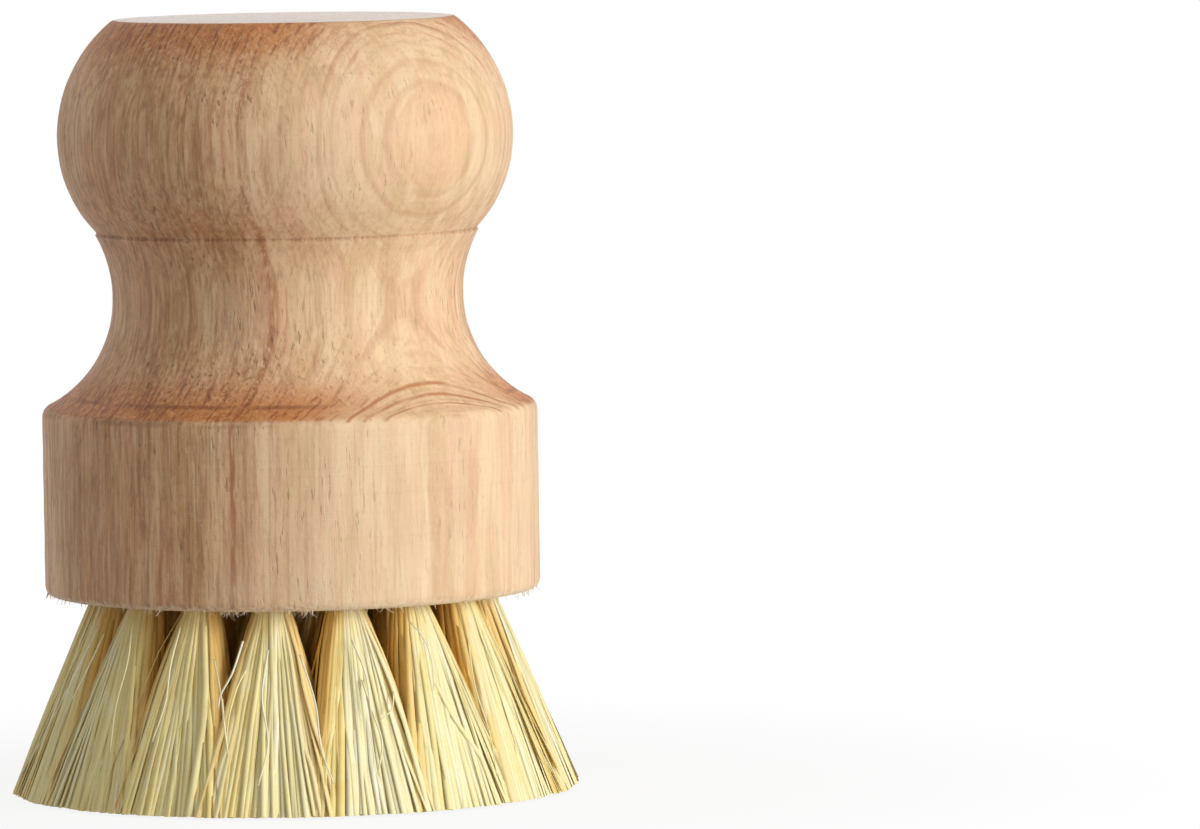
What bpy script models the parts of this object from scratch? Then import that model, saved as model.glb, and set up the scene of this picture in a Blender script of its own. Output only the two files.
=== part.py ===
"""A round wooden scrub brush: one turned handle, and tufts of plant fibre that are folded over flat
wire anchors and driven into blind holes in the underside of the handle.

Metres, +Z up. The origin is on the brush's axis, on the plane of the trimmed bristle tips."""

import math
import random
from collections import namedtuple

import bmesh
import bpy
from mathutils import Matrix, Vector

MM = 0.001

# Handle: each height is measured from the one before, upwards from the plane of the tips
UNDERSIDE_HEIGHT = 21.8 * MM
BLOCK_HEIGHT = 20.5 * MM  # to the edge of the shoulder
SHOULDER_RISE = 12.2 * MM  # to the narrowest ring of the waist
NECK_RISE = 7.1 * MM  # to the turned line under the knob
KNOB_LOWER_RISE = 10.4 * MM  # to the widest ring of the knob
KNOB_UPPER_RISE = 13.0 * MM  # to the flat top

# Handle: each width is measured from the one before, upwards from the block
BLOCK_DIAMETER = 54.6 * MM
WAIST_DRAW_IN = 8.0 * MM  # from the side of the block
NECK_FLARE = 1.8 * MM
KNOB_SWELL = 4.0 * MM
KNOB_TUCK = 6.3 * MM  # from the widest ring to the edge of the flat top

BLOCK_EDGE_RADIUS = 1.2 * MM
SHOULDER_EDGE_RADIUS = 1.5 * MM
TOP_EDGE_RADIUS = 1.0 * MM
LINE_DEPTH = 0.3 * MM  # of the turned line
LINE_WIDTH = 0.5 * MM

# Holes: three rings of blind holes, as many as there is room for, each drilled along the tuft that it holds
HOLE_DIAMETER = 5.0 * MM
HOLE_DEPTH = 8.6 * MM  # along the hole, to where the drill's point begins
DRILL_POINT_ANGLE = math.radians(118)
RIM_WALL = 4.8 * MM  # wood between the outer holes and the side of the block
HOLE_WALL = 2.6 * MM  # the least wood between holes, in a ring and from ring to ring
INNER_WALL = 3.0 * MM  # wood between the holes of the inner ring, which sets how near to the axis they lie
TURN_SHARES = (0.71, 0.68, 0.25)  # of a ring's pitch, from the front to its first hole, rim inwards

# Tufts
FIT_GAP = 0.3 * MM  # between a piece and what it fits in
FACE_OVERHANG = 3.3 * MM  # how far the face of trimmed tips reaches past the side of the block
CENTRE_BARE_RADIUS = 2.0 * MM  # no tip lies nearer to the axis
TUFT_SPACING = 0.6 * MM  # bare strip between the tips of neighbouring tufts
MOUTH_RECESS = 1.0 * MM  # along the hole, to where the strands leave the bound root
ROOT_RIM = 0.35 * MM  # bare rim round the strands on the bound root

# A strand is a lock of fibres, which loosens towards its tip
STRAND_ROOT_THICKNESS = 0.44 * MM
STRAND_TIP_THICKNESS = 1.1 * MM
STRAND_EMBED = 0.8 * MM  # how deep a strand runs into the bound root
TIP_SCATTER = 0.3 * MM  # how far a tip strays from its place
SCATTER_SEED = 16
STRANDS_PER_ROW = (3, 4, 4, 4)  # the rows run round the brush, from its axis outwards

# Anchors: a short flat wire lies across each folded tuft, and its ends bite into the wall of the hole
ANCHOR_HEIGHT = 2.0 * MM
ANCHOR_THICKNESS = 0.45 * MM
ANCHOR_BITE = 0.35 * MM
ANCHOR_TURN = math.radians(45)  # slantwise, so that the bites of neighbouring holes don't line up
FOLD_THICKNESS = 1.3 * MM  # folded fibres between the anchor and the end of the tuft

# Smoothness and cutting
HANDLE_SIDES = 64
HOLE_SIDES = 10
ARC_STEPS = 5
EDGE_STEPS = 3
SMOOTH_ANGLE = math.radians(38)
CUT_OVERRUN = 3.0 * MM

BLOCK_RADIUS = BLOCK_DIAMETER / 2
WAIST_RADIUS = BLOCK_RADIUS - WAIST_DRAW_IN
LINE_RADIUS = WAIST_RADIUS + NECK_FLARE
KNOB_RADIUS = LINE_RADIUS + KNOB_SWELL
TOP_RADIUS = KNOB_RADIUS - KNOB_TUCK

SHOULDER_HEIGHT = UNDERSIDE_HEIGHT + BLOCK_HEIGHT
WAIST_HEIGHT = SHOULDER_HEIGHT + SHOULDER_RISE
LINE_HEIGHT = WAIST_HEIGHT + NECK_RISE
KNOB_HEIGHT = LINE_HEIGHT + KNOB_LOWER_RISE
TOP_HEIGHT = KNOB_HEIGHT + KNOB_UPPER_RISE

HOLE_RADIUS = HOLE_DIAMETER / 2
ROOT_RADIUS = HOLE_RADIUS - FIT_GAP
ROOT_END_DEPTH = HOLE_DEPTH - FIT_GAP
HOLE_PITCH = HOLE_DIAMETER + HOLE_WALL
INNER_PITCH = HOLE_DIAMETER + INNER_WALL
OUTER_RADIUS = BLOCK_RADIUS - RIM_WALL - HOLE_RADIUS
ANCHOR_WIDTH = HOLE_DIAMETER + 2 * ANCHOR_BITE
ANCHOR_DEPTH = ROOT_END_DEPTH - FOLD_THICKNESS - ANCHOR_HEIGHT / 2

# The tufts fan out alike: the face is the ringed underside made wider
FACE_RADIUS = BLOCK_RADIUS + FACE_OVERHANG
FLARE = FACE_RADIUS / (OUTER_RADIUS + HOLE_RADIUS)
FIELD_EDGE = (TUFT_SPACING + STRAND_TIP_THICKNESS) / 2 + TIP_SCATTER

# A ring of holes, and where the middles of its tufts' tips begin and end on the face
RING_LABELS = ("outer_{:02}", "middle_{:02}", "inner_{}")
Ring = namedtuple("Ring", "label count turn_share radius tips_start tips_end")


def clear_scene():
    for obj in list(bpy.data.objects):
        bpy.data.objects.remove(obj)


def make_material(name, colour, roughness, metallic=0.0):
    material = bpy.data.materials.new(name)
    material.use_nodes = True
    shader = material.node_tree.nodes["Principled BSDF"]
    shader.inputs["Base Color"].default_value = (*colour, 1.0)
    shader.inputs["Roughness"].default_value = roughness
    shader.inputs["Metallic"].default_value = metallic
    material.diffuse_color = (*colour, 1.0)
    return material


def add_object(name, mesh, material=None, parent=None):
    obj = bpy.data.objects.new(name, mesh)
    bpy.context.scene.collection.objects.link(obj)
    obj.parent = parent
    if material and not mesh.materials:
        mesh.materials.append(material)
    return obj


def mesh_from(bm, name):
    """Turns a bmesh into a mesh whose round parts are shaded smooth."""
    bmesh.ops.recalc_face_normals(bm, faces=bm.faces)
    mesh = bpy.data.meshes.new(name)
    bm.to_mesh(mesh)
    bm.free()
    mesh.shade_smooth()
    mesh.set_sharp_from_angle(angle=SMOOTH_ANGLE)
    return mesh


def turn(bm, profile, sides, placing=Matrix.Identity(4)):
    """Adds the body that points of (radius, height) make when they are turned about Z, with flat ends."""
    loops = []
    for radius, height in profile:
        angles = [2 * math.pi * side / sides for side in range(sides if radius else 1)]
        points = [Vector((radius * math.cos(a), radius * math.sin(a), height)) for a in angles]
        loops.append([bm.verts.new(placing @ point) for point in points])
    for lower, upper in zip(loops, loops[1:]):
        for side in range(sides):
            after = (side + 1) % sides
            corners = [lower[side], lower[after], upper[after % len(upper)], upper[side % len(upper)]]
            bm.faces.new(list(dict.fromkeys(corners)))
    for end in (loops[0], loops[-1]):
        if len(end) > 1:
            bm.faces.new(end)


def add_box(bm, size, placing=Matrix.Identity(4)):
    bmesh.ops.create_cube(bm, size=1, matrix=placing @ Matrix.Diagonal((*size, 1)))


def cut(obj, cutter, operation="DIFFERENCE"):
    """Cuts or joins another object by a Boolean, and hides that object."""
    cutter.hide_render = True
    cutter.display_type = "WIRE"
    modifier = obj.modifiers.new(cutter.name, "BOOLEAN")
    modifier.operation = operation
    modifier.solver = "EXACT"
    modifier.object = cutter


def swell(widest, end):
    """Points of the arc that starts upright at one (radius, height) and ends at another."""
    run, rise = end[0] - widest[0], end[1] - widest[1]
    arc_radius = (run**2 + rise**2) / (2 * abs(run))
    sweep = 2 * math.atan2(abs(run), abs(rise))
    turns = [sweep * step / ARC_STEPS for step in range(ARC_STEPS + 1)]
    return [(widest[0] + math.copysign(arc_radius, run) * (1 - math.cos(t)),
             widest[1] + math.copysign(arc_radius, rise) * math.sin(t)) for t in turns]


def round_corner(before, corner, after, radius):
    """Points that round a corner off, within the half of each run that is next to it."""
    corner = Vector(corner)
    back, ahead = Vector(before) - corner, Vector(after) - corner
    setback = min(radius / math.tan(back.angle(ahead) / 2), back.length / 2, ahead.length / 2)
    start, end = corner + back.normalized() * setback, corner + ahead.normalized() * setback
    steps = [step / EDGE_STEPS for step in range(EDGE_STEPS + 1)]
    return [tuple(start * (1 - s) ** 2 + corner * 2 * s * (1 - s) + end * s**2) for s in steps]


def handle_profile():
    """(radius, height) from the edge of the underside, up the side, to the edge of the top."""
    bottom = (0, UNDERSIDE_HEIGHT)
    foot = (BLOCK_RADIUS, UNDERSIDE_HEIGHT)
    shoulder = (BLOCK_RADIUS, SHOULDER_HEIGHT)
    waist = (WAIST_RADIUS, WAIST_HEIGHT)
    line_foot = (LINE_RADIUS, LINE_HEIGHT - LINE_WIDTH / 2)
    line = (LINE_RADIUS - LINE_DEPTH, LINE_HEIGHT)
    line_head = (LINE_RADIUS, LINE_HEIGHT + LINE_WIDTH / 2)
    widest = (KNOB_RADIUS, KNOB_HEIGHT)
    rim = (TOP_RADIUS, TOP_HEIGHT)
    top = (0, TOP_HEIGHT)

    cove = swell(waist, shoulder)[::-1]
    neck = swell(waist, line_foot)
    knob_lower = swell(widest, line_head)[::-1]
    knob_upper = swell(widest, rim)
    return [*round_corner(bottom, foot, shoulder, BLOCK_EDGE_RADIUS),
            *round_corner(foot, shoulder, cove[1], SHOULDER_EDGE_RADIUS), *cove[1:-1],
            *neck, line, *knob_lower[:-1],
            *knob_upper[:-1], *round_corner(knob_upper[-2], rim, top, TOP_EDGE_RADIUS)]


def most_holes(radius, pitch):
    """How many holes a ring takes, or one where it has no room for two."""
    return int(math.pi / math.asin(pitch / 2 / radius)) if radius > pitch / 2 else 1


def least_radius(count, pitch):
    """The radius at which the holes of a ring lie a pitch apart. A single hole lies on the axis."""
    return pitch / 2 / math.sin(math.pi / count) if count > 1 else 0.0


def hole_rings():
    """The rings from the rim inwards, and the fields of the face that they share out."""
    inner_count = most_holes(OUTER_RADIUS - 2 * HOLE_PITCH, INNER_PITCH)
    inner_radius = least_radius(inner_count, INNER_PITCH)
    middle_radius = (OUTER_RADIUS + inner_radius) / 2
    radii = (OUTER_RADIUS, middle_radius, inner_radius)
    counts = (most_holes(OUTER_RADIUS, HOLE_PITCH), most_holes(middle_radius, HOLE_PITCH), inner_count)
    between = [FLARE * (outer + inner) / 2 for outer, inner in zip(radii, radii[1:])]
    borders = (FACE_RADIUS + TUFT_SPACING / 2, *between, CENTRE_BARE_RADIUS)
    starts = [border + FIELD_EDGE for border in borders[1:]]
    ends = [border - FIELD_EDGE for border in borders]
    return [Ring(*values) for values in zip(RING_LABELS, counts, TURN_SHARES, radii, starts, ends)]


def mouth_placing(radius):
    """The mouth of a hole on +X: local Z runs up into the wood, and local Y along the anchor."""
    lean = math.atan2((FLARE - 1) * radius, UNDERSIDE_HEIGHT)
    leaning = Matrix.Rotation(-lean, 4, "Y") @ Matrix.Rotation(ANCHOR_TURN, 4, "Z")
    return Matrix.Translation((radius, 0, UNDERSIDE_HEIGHT)) @ leaning


def anchor_placing():
    """The middle of an anchor, seen from the mouth of its hole."""
    return Matrix.Translation((0, 0, ANCHOR_DEPTH))


def hole_placings():
    """Yields each hole's ring, its label and where its mouth is."""
    for ring in hole_rings():
        for number in range(ring.count):
            angle = 2 * math.pi * (number + ring.turn_share) / ring.count - math.pi / 2
            placing = Matrix.Rotation(angle, 4, "Z") @ mouth_placing(ring.radius)
            yield ring, ring.label.format(number + 1), placing


def drill_cutter():
    """Every blind hole, with the cone that the drill's point leaves."""
    bm = bmesh.new()
    cone_depth = HOLE_RADIUS / math.tan(DRILL_POINT_ANGLE / 2)
    profile = [(HOLE_RADIUS, -CUT_OVERRUN), (HOLE_RADIUS, HOLE_DEPTH), (0, HOLE_DEPTH + cone_depth)]
    for _, _, placing in hole_placings():
        turn(bm, profile, HOLE_SIDES, placing)
    return add_object("drill_cutter", mesh_from(bm, "drill_cutter"))


def bite_cutter():
    """The slits that the ends of the anchors bite into the walls of the holes."""
    bm = bmesh.new()
    size = (ANCHOR_THICKNESS + 2 * FIT_GAP, ANCHOR_WIDTH + 2 * FIT_GAP, ANCHOR_HEIGHT + 2 * FIT_GAP)
    for _, _, placing in hole_placings():
        add_box(bm, size, placing @ anchor_placing())
    return add_object("bite_cutter", mesh_from(bm, "bite_cutter"))


def make_handle(material, parent):
    bm = bmesh.new()
    turn(bm, handle_profile(), HANDLE_SIDES)
    handle = add_object("wooden_handle", mesh_from(bm, "wooden_handle"), material, parent)
    cut(handle, drill_cutter())
    cut(handle, bite_cutter())


def square_to_disc(across, along):
    """Moves a point of the square from -1 to 1 to the unit disc."""
    return across * math.sqrt(1 - along**2 / 2), along * math.sqrt(1 - across**2 / 2)


def square_round(centre, thickness, angle):
    """The corners of a level square."""
    turned = Matrix.Rotation(angle, 3, "Z")
    signs = ((-1, -1), (1, -1), (1, 1), (-1, 1))
    return [centre + turned @ Vector((x, y, 0)) * thickness / 2 for x, y in signs]


def add_strand(bm, root, tip, angle, to_local):
    """Adds one square strand, upright inside the bound root and then straight to its flat tip."""
    at_mouth = square_round(root, STRAND_ROOT_THICKNESS, -ANCHOR_TURN)
    at_tip = [to_local @ corner for corner in square_round(tip, STRAND_TIP_THICKNESS, angle)]
    embedded = [corner + Vector((0, 0, STRAND_EMBED)) for corner in at_mouth]
    loops = [[bm.verts.new(corner) for corner in loop] for loop in (embedded, at_mouth, at_tip)]
    for upper, lower in zip(loops, loops[1:]):
        for side in range(4):
            after = (side + 1) % 4
            bm.faces.new((upper[after], upper[side], lower[side], lower[after]))
    bm.faces.new(loops[0])
    bm.faces.new(loops[-1])


def tip_place(ring, outwards, sideways, scatter):
    """Where a strand of a tuft in a ring ends on the face: its distance from the axis, and its bearing."""
    reach = ring.tips_start + (ring.tips_end - ring.tips_start) * outwards
    half_field = math.pi / ring.count - FIELD_EDGE / reach
    return (reach + TIP_SCATTER * scatter.uniform(-1, 1),
            sideways * half_field + TIP_SCATTER * scatter.uniform(-1, 1) / reach)


def strands(ring):
    """All the strands of one tuft, spread from its round root to its field of the brush's face."""
    bm = bmesh.new()
    scatter = random.Random(SCATTER_SEED)
    to_local = mouth_placing(ring.radius).inverted()
    fill_radius = ROOT_RADIUS - ROOT_RIM - STRAND_ROOT_THICKNESS / math.sqrt(2)
    last_row = len(STRANDS_PER_ROW) - 1
    for row, in_row in enumerate(STRANDS_PER_ROW):
        outwards = row / last_row
        for column in range(in_row):
            sideways = 2 * column / (in_row - 1) - 1
            x, y = square_to_disc(2 * outwards - 1, sideways * (in_row - 1) / in_row)
            root = Vector((x * fill_radius, y * fill_radius, MOUTH_RECESS))
            root.rotate(Matrix.Rotation(-ANCHOR_TURN, 3, "Z"))
            if ring.radius:
                reach, angle = tip_place(ring, outwards, sideways, scatter)
            else:
                reach, angle = ring.tips_end * math.hypot(x, y), math.atan2(y, x)
            tip = Vector((reach * math.cos(angle), reach * math.sin(angle), 0))
            add_strand(bm, root, tip, angle, to_local)
    return add_object("strands", mesh_from(bm, "strands"))


def bound_root():
    """The part of a tuft inside its hole, where the folded fibres lie close."""
    bm = bmesh.new()
    turn(bm, [(ROOT_RADIUS, MOUTH_RECESS), (ROOT_RADIUS, ROOT_END_DEPTH)], HOLE_SIDES)
    return add_object("bound_root", mesh_from(bm, "bound_root"))


def fold_window():
    """The window that the fold of a tuft leaves for its anchor."""
    bm = bmesh.new()
    size = (ANCHOR_THICKNESS + 2 * FIT_GAP, ANCHOR_WIDTH + CUT_OVERRUN, ANCHOR_HEIGHT + 2 * FIT_GAP)
    add_box(bm, size, anchor_placing())
    return add_object("fold_window", mesh_from(bm, "fold_window"))


def tuft_mesh(ring):
    """Root and strands joined into one closed mesh, which every tuft of the ring shares."""
    root, fan, window = bound_root(), strands(ring), fold_window()
    cut(root, fan, "UNION")
    cut(root, window)
    bpy.context.view_layer.update()
    joined = root.evaluated_get(bpy.context.evaluated_depsgraph_get())
    mesh = bpy.data.meshes.new_from_object(joined)
    mesh.name = "tuft"
    for helper in (root, fan, window):
        bpy.data.objects.remove(helper)
    return mesh


def anchor_mesh():
    bm = bmesh.new()
    add_box(bm, (ANCHOR_THICKNESS, ANCHOR_WIDTH, ANCHOR_HEIGHT), anchor_placing())
    return mesh_from(bm, "anchor")


def main():
    clear_scene()
    wood = make_material("turned_wood", (0.72, 0.47, 0.27), 0.55)
    fibre = make_material("plant_fibre", (0.78, 0.68, 0.38), 0.60)
    steel = make_material("anchor_wire", (0.62, 0.60, 0.56), 0.35, metallic=1.0)

    brush = bpy.data.objects.new("scrub_brush", None)
    bpy.context.scene.collection.objects.link(brush)
    make_handle(wood, brush)

    tufts = {ring: tuft_mesh(ring) for ring in hole_rings()}
    flat_wire = anchor_mesh()
    for ring, label, placing in hole_placings():
        tuft = add_object(f"tuft_{label}", tufts[ring], fibre, brush)
        tuft.matrix_local = placing
        add_object(f"anchor_{label}", flat_wire, steel, tuft)


main()
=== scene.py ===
from math import atan2, ceil, copysign, cos, pi, radians, sin, sqrt, tan
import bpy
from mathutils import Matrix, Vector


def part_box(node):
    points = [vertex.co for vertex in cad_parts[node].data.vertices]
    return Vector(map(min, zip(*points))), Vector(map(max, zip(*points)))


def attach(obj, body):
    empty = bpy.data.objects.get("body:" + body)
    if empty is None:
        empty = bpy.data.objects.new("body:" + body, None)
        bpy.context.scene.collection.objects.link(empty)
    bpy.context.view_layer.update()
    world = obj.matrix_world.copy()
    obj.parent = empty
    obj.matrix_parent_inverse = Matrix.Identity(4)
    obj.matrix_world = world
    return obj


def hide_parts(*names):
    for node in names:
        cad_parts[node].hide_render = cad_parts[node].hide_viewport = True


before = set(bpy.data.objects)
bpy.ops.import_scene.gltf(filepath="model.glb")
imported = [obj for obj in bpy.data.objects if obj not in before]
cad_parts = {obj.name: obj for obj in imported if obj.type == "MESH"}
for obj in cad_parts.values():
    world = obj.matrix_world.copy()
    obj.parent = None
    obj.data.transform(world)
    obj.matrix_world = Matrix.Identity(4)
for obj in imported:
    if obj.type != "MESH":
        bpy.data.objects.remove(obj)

from types import SimpleNamespace

import bpy
import bmesh
import numpy as np
from mathutils import Matrix, Vector

# A turned wooden scrub brush. Lengths are in millimetres up to the last step of each mesh, then in metres.
mm = 0.001
scene = bpy.context.scene
up = Vector((0, 0, 1))
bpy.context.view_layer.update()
anchors = {name.removeprefix("anchor_"): node for name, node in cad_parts.items() if "anchor" in name}
handleBox = [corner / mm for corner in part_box("wooden_handle")]
undersideZ = handleBox[0].z
topZ = handleBox[1].z
print("frame: handle from", round(undersideZ, 2), "to", round(topZ, 2), "mm above the tips")


# camera and studio

photo = {
    "span": 132.5,  # width of the view at the brush's axis
    "distance": 1058.0,
    "eyeHeight": 117.7,
    "aim": (34.2, 0.0, 40.6),  # what lies at the middle of the picture
    "roll": 0.87,  # degrees, the top leaning left
    "sensor": 36.0, "clip": (0.01, 100),  # millimetres, metres
    "width": 1200, "height": 829,  # of the picture, in pixels
}

lamps = {
    # azimuth, elevation, distance, width, watts and tint
    "key": (57, 8, 1100, 600, 11.1, (1, 1, 0.99)),
    "top": (15, 72, 1200, 900, 1.6, (1, 1, 1)),
    "rim": (-112, 6, 1100, 500, 0.6, (0.92, 0.95, 1)),
}

stage = {
    "worldLight": {"Color": (1.0, 0.975, 0.94, 1), "Strength": 0.315},
    "white": {"Color": (1, 1, 1, 1), "Strength": 1},
    "floorRadius": 14000.0, "floorSides": 96,
    "drop": 0.25,  # the floor lies this far under the tips
    "floorTint": (0.9, 0.9, 0.9, 1), "floorDust": (0.8, 0.8, 0.8, 1),
    "dust": (40, 0.04),  # specks per metre and how far they show
    "floor": {"Roughness": 0.9, "Specular IOR Level": 0.1},
    "nearWhite": 0.88,  # how white the floor is beside the brush, in the shadow
    "fade": (34.0, 110.0),  # from the axis, the ring in which that ends
}


def orbit(azimuth, elevation, distance):
    # azimuth 0 is the camera's side of the brush, and 90 its right
    a, e = radians(azimuth), radians(elevation)
    return Vector((sin(a) * cos(e), -cos(a) * cos(e), sin(e))) * distance * mm


def place(name, data):
    obj = bpy.data.objects.new(name, data)
    scene.collection.objects.link(obj)
    return obj


def makeCamera():
    data = bpy.data.cameras.new("camera")
    camera = place("camera", data)
    camera.location = Vector((0, -photo["distance"], photo["eyeHeight"])) * mm
    aim = Vector(photo["aim"]) * mm
    sight = aim - camera.location
    rolled = Matrix.Rotation(radians(-photo["roll"]), 3, "Z")
    camera.rotation_euler = (sight.to_track_quat("-Z", "Y").to_matrix() @ rolled).to_euler()
    data.sensor_width = photo["sensor"]
    data.lens = photo["sensor"] * sight.length / (photo["span"] * mm)
    data.clip_start, data.clip_end = photo["clip"]
    data.dof.use_dof = False
    scene.camera = camera


def makeLamp(name, azimuth, elevation, distance, width, watts, tint):
    data = bpy.data.lights.new(name, "AREA")
    data.shape = "DISK"
    data.size = width * mm
    data.energy, data.color = watts, tint
    lamp = place(name, data)
    lamp.location = orbit(azimuth, elevation, distance)
    aim = up * (undersideZ + topZ) / 2 * mm
    lamp.rotation_euler = (aim - lamp.location).to_track_quat("-Z", "Y").to_euler()


# shader helpers

class Wire:
    # an output socket, so that shader maths reads as plain expressions
    def __init__(self, finish, socket):
        self.finish, self.socket = finish, socket

    def maths(self, operation, *others):
        return self.finish.maths(operation, self, *others)

    def pair(operation):
        # an operator and its reflected form
        return (lambda self, other: self.finish.maths(operation, self, other),
                lambda self, other: self.finish.maths(operation, other, self))

    __add__, __radd__ = pair("ADD")
    __sub__, __rsub__ = pair("SUBTRACT")
    __mul__, __rmul__ = pair("MULTIPLY")
    __truediv__, __rtruediv__ = pair("DIVIDE")


class Finish:
    # one material or world, and the one method that makes its nodes
    def __init__(self, name, world=False):
        owner = (bpy.data.worlds if world else bpy.data.materials).new(name)
        self.owner = owner
        owner.use_nodes = True
        self.tree = owner.node_tree
        self.tree.nodes.clear()

    def make(self, kind, settings=None, inputs=None, output=0):
        node = self.tree.nodes.new(f"ShaderNode{kind}")
        for name, value in (settings or {}).items():
            if name == "stops":
                self.setStops(node.color_ramp, value)
            else:
                setattr(node, name, value)
        for key, value in (inputs or {}).items():
            if isinstance(value, Wire):
                self.tree.links.new(value.socket, node.inputs[key])
            else:
                node.inputs[key].default_value = value
        return Wire(self, node.outputs[output]) if len(node.outputs) else node

    def maths(self, operation, *values):
        return self.make("Math", {"operation": operation}, dict(enumerate(values)))

    def setStops(self, ramp, stops):
        while len(ramp.elements) < len(stops):
            ramp.elements.new(1)
        for element, (position, colour) in zip(ramp.elements, stops):
            element.position = position
            element.color = colour

    def onPiece(self):
        return self.make("TexCoord", output="Object")

    def noise(self, vector, scale, detail=2.0, roughness=0.5):
        inputs = {"Vector": vector, "Scale": scale, "Detail": detail, "Roughness": roughness}
        return self.make("TexNoise", {}, inputs)

    def combine(self, x, y, z):
        return self.make("CombineXYZ", {}, {0: x, 1: y, 2: z})

    def figure(self, axes, sizes):
        # noise that changes along each axis as often as the sizes say
        return self.noise(self.combine(*[axis * rate for axis, rate in zip(axes, sizes)]), 1, *sizes[3:])

    def step(self, value, start, full):
        # rises smoothly from 0 at the start to 1 where it is full, above or below
        if start > full:
            return 1 - self.step(value, full, start)
        ends = {"Value": value, "From Min": start, "From Max": full}
        return self.make("MapRange", {"interpolation_type": "SMOOTHSTEP"}, ends)

    def above(self, least, mask):
        # the mask, squeezed so that it starts from the least share
        return least + (1 - least) * mask

    def band(self, value, middle, reach, soft):
        # 1 within reach of the middle, and 0 past the soft edge
        return 1 - self.step((value - middle).maths("ABSOLUTE"), reach, reach + soft)

    def mix(self, factor, first, second, blend="MIX"):
        settings = {"data_type": "RGBA", "blend_type": blend}
        return self.make("Mix", settings, {0: factor, 6: first, 7: second}, 2)

    def seenDirectly(self):
        # by camera, glossy and transmission rays
        camera, glossy, through = [self.make("LightPath", output=f"Is {name} Ray")
                                   for name in ("Camera", "Glossy", "Transmission")]
        return camera.maths("MAXIMUM", glossy.maths("MAXIMUM", through))

    def close(self, look, colour, height, rough=None):
        # the shader, as rough as its height where nothing else is given
        if not rough:
            smooth, added = look["rough"]
            rough = smooth + added * height
        strength, depth = look["bump"]
        normal = self.make("Bump", {}, {"Strength": strength, "Distance": depth, "Height": height}, "Normal")
        sockets = {"Base Color": colour, "Roughness": rough, "Normal": normal, **look["surface"]}
        self.make("OutputMaterial", {}, {"Surface": self.make("BsdfPrincipled", {}, sockets)})
        return self.owner


def linear(red, green, blue):
    # a colour as a screen names it, from 0 to 255, in linear light
    shares = [level / 255 for level in (red, green, blue)]
    return (*[s / 12.92 if s <= 0.04045 else ((s + 0.055) / 1.055) ** 2.4 for s in shares], 1.0)


def makeWorld():
    paint = Finish("studio", world=True)
    scene.world = paint.owner
    lit = paint.make("Background", {}, stage["worldLight"])
    ground = paint.make("Background", {}, stage["white"])
    both = paint.make("MixShader", {}, {0: paint.seenDirectly(), 1: lit, 2: ground})
    paint.make("OutputWorld", {}, {"Surface": both})


def floorFinish():
    paint = Finish("paleFloor")
    where = paint.onPiece()
    away = paint.make("VectorMath", {"operation": "LENGTH"}, {0: where}, "Value") / mm
    often, shown = stage["dust"]
    tone = paint.mix(paint.noise(where, often) * shown, stage["floorTint"], stage["floorDust"])
    diffuse = paint.make("BsdfPrincipled", {}, {"Base Color": tone, **stage["floor"]})
    ground = paint.make("Emission", {}, stage["white"])
    share = paint.above(stage["nearWhite"], paint.step(away, *stage["fade"]))
    top = paint.make("MixShader", {}, {0: paint.seenDirectly() * share, 1: diffuse, 2: ground})
    below = paint.make("NewGeometry", output="Backfacing")
    soft = paint.make("LightPath", output="Is Diffuse Ray")  # the tips are lit through the floor
    clear = paint.make("BsdfTransparent")
    both = paint.make("MixShader", {}, {0: below.maths("MAXIMUM", soft), 1: top, 2: clear})
    paint.make("OutputMaterial", {}, {"Surface": both})
    return paint.owner


# meshes and pieces

def addPiece(name, mesh, material):
    mesh.materials.clear()
    mesh.materials.append(material)
    return place(name, mesh)


def meshOf(name, points, faces):
    mesh = bpy.data.meshes.new(name)
    mesh.from_pydata((np.reshape(points, (-1, 3)) * mm).tolist(), [], faces)
    return mesh


def body(name, bm, material):
    bmesh.ops.recalc_face_normals(bm, faces=bm.faces)
    mesh = bpy.data.meshes.new(name)
    bm.to_mesh(mesh)
    bm.free()
    return addPiece(name, mesh, material)


def tubeFaces(count, rings, sides):
    # the quads of tubes, whose rings of points follow one another, then their caps
    lower = np.arange(count * rings).reshape(count, rings, 1)[:, :-1] * sides
    side = np.arange(sides)
    after = (side + 1) % sides
    quads = np.stack([lower + side, lower + after, lower + sides + after, lower + sides + side], axis=-1)
    roots = np.arange(count)[:, None] * rings * sides + side
    return [*quads.reshape(-1, 4).tolist(), *roots[:, ::-1].tolist(), *(roots + (rings - 1) * sides).tolist()]


def ramp(values, start, full):
    return np.clip((values - start) / (full - start), 0, 1)


def unit(vectors):
    return vectors / np.linalg.norm(vectors, axis=-1, keepdims=True)


def onCircle(bearing, radius, height):
    return np.stack([radius * np.cos(bearing), radius * np.sin(bearing), height + 0 * bearing], axis=-1)


def wrap(bm, loops):
    # a closed body round loops of points, the last of which may be a single tip
    rows = [[bm.verts.new(point * mm) for point in loop] for loop in loops]
    for lower, upper in zip(rows, rows[1:]):
        for side in range(len(lower)):
            after = (side + 1) % len(lower)
            corners = [lower[side], lower[after], upper[after % len(upper)], upper[side % len(upper)]]
            bm.faces.new(list(dict.fromkeys(corners)))
    for end in (rows[0], rows[-1]):
        if len(end) > 1:
            bm.faces.new(end)


def turn(bm, profile, sides, placing):
    # a body turned about the placing's own Z
    angles = [2 * pi * side / sides for side in range(sides)]
    wrap(bm, [[placing @ Vector(onCircle(a, radius, height))
               for a in (angles if radius else angles[:1])] for radius, height in profile])


def block(bm, sizes, placing):
    bmesh.ops.create_cube(bm, size=1, matrix=placing @ Matrix.Diagonal((*[size * mm for size in sizes], 1)))


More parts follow.
